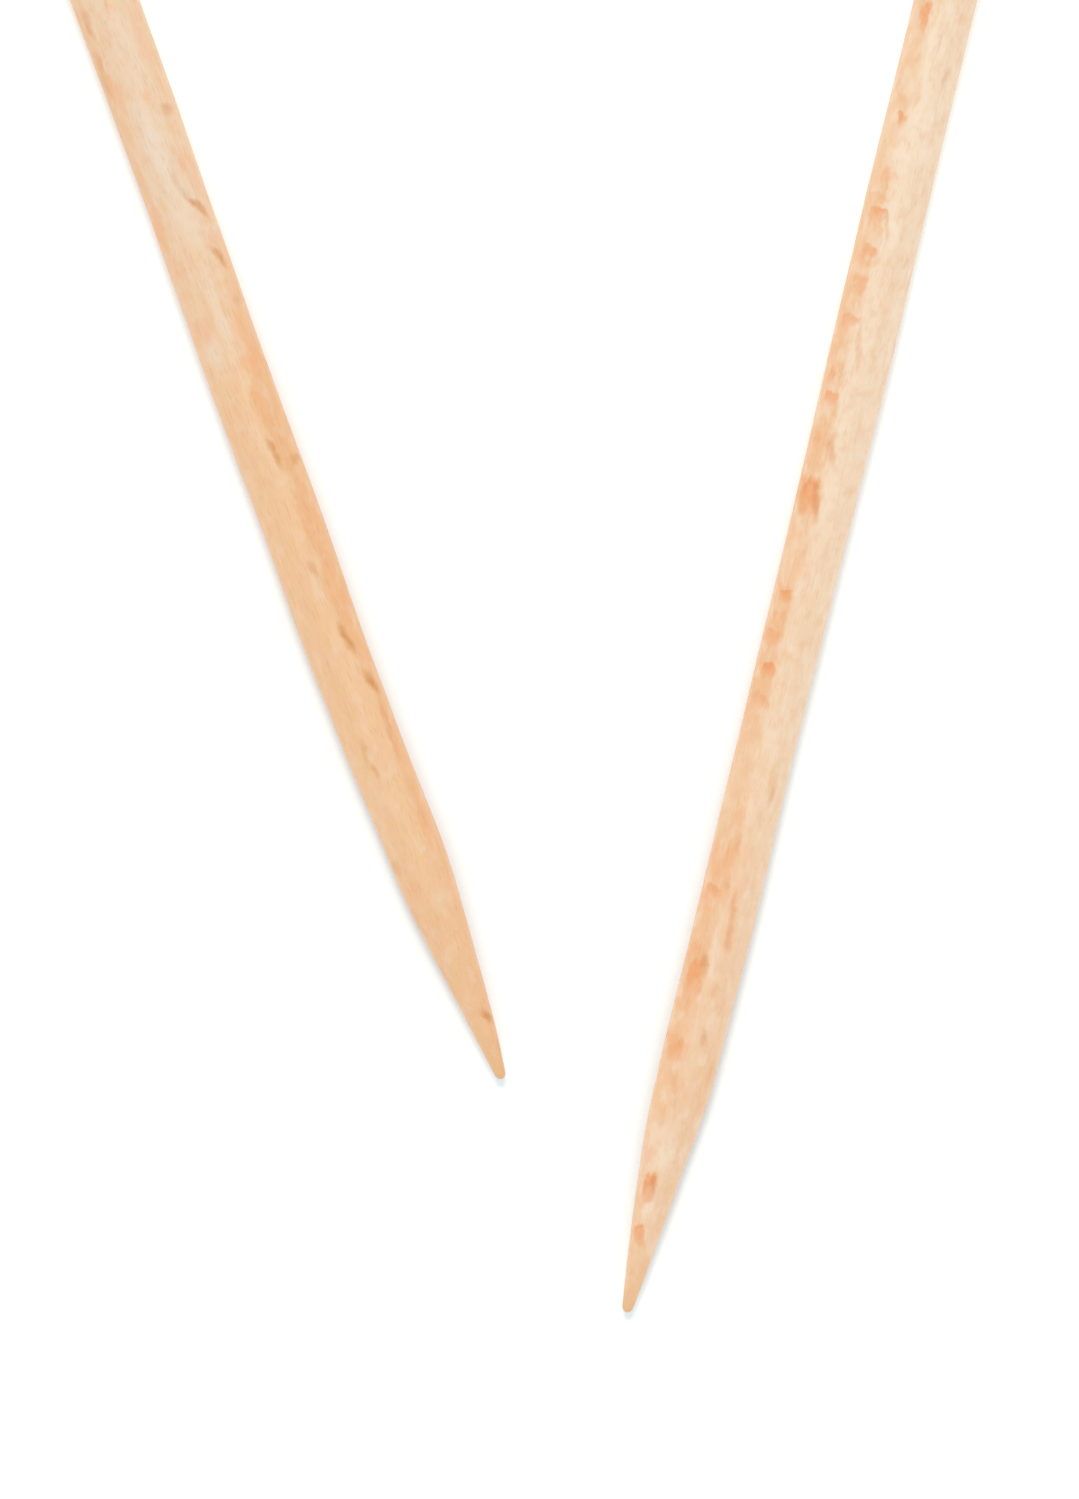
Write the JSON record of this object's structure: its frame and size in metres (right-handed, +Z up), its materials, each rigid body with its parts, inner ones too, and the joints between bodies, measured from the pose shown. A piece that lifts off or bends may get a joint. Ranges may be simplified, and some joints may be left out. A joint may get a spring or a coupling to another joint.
{
  "type": "straight knitting needles",
  "caption": "Single-pointed wooden needles for hand knitting, each a tapered dowel with a turned stop knob, lying in an open V.",
  "frame": {"origin": "middle of the pair's footprint, on the table that the needles lie on", "axes": "+Z up from the table, +Y from the points towards the knobs, +X from the left needle towards the right one"},
  "size_m": [0.1625, 0.253, 0.012],
  "materials": {
    "left_beech": "waxed, satin",
    "right_beech": "waxed, satin",
    "knob_beech": "waxed, satin"
  },
  "bodies": {
    "left_needle": {"left_shaft": "left_beech", "left_knob": "knob_beech"},
    "right_needle": {"right_shaft": "right_beech", "right_knob": "knob_beech"}
  },
  "joints": [
    {"name": "right_needle_lift", "type": "slide", "parent": "left_needle", "child": "right_needle", "axis": [0, 0, 1], "range_m": [0, 0.05]}
  ]
}
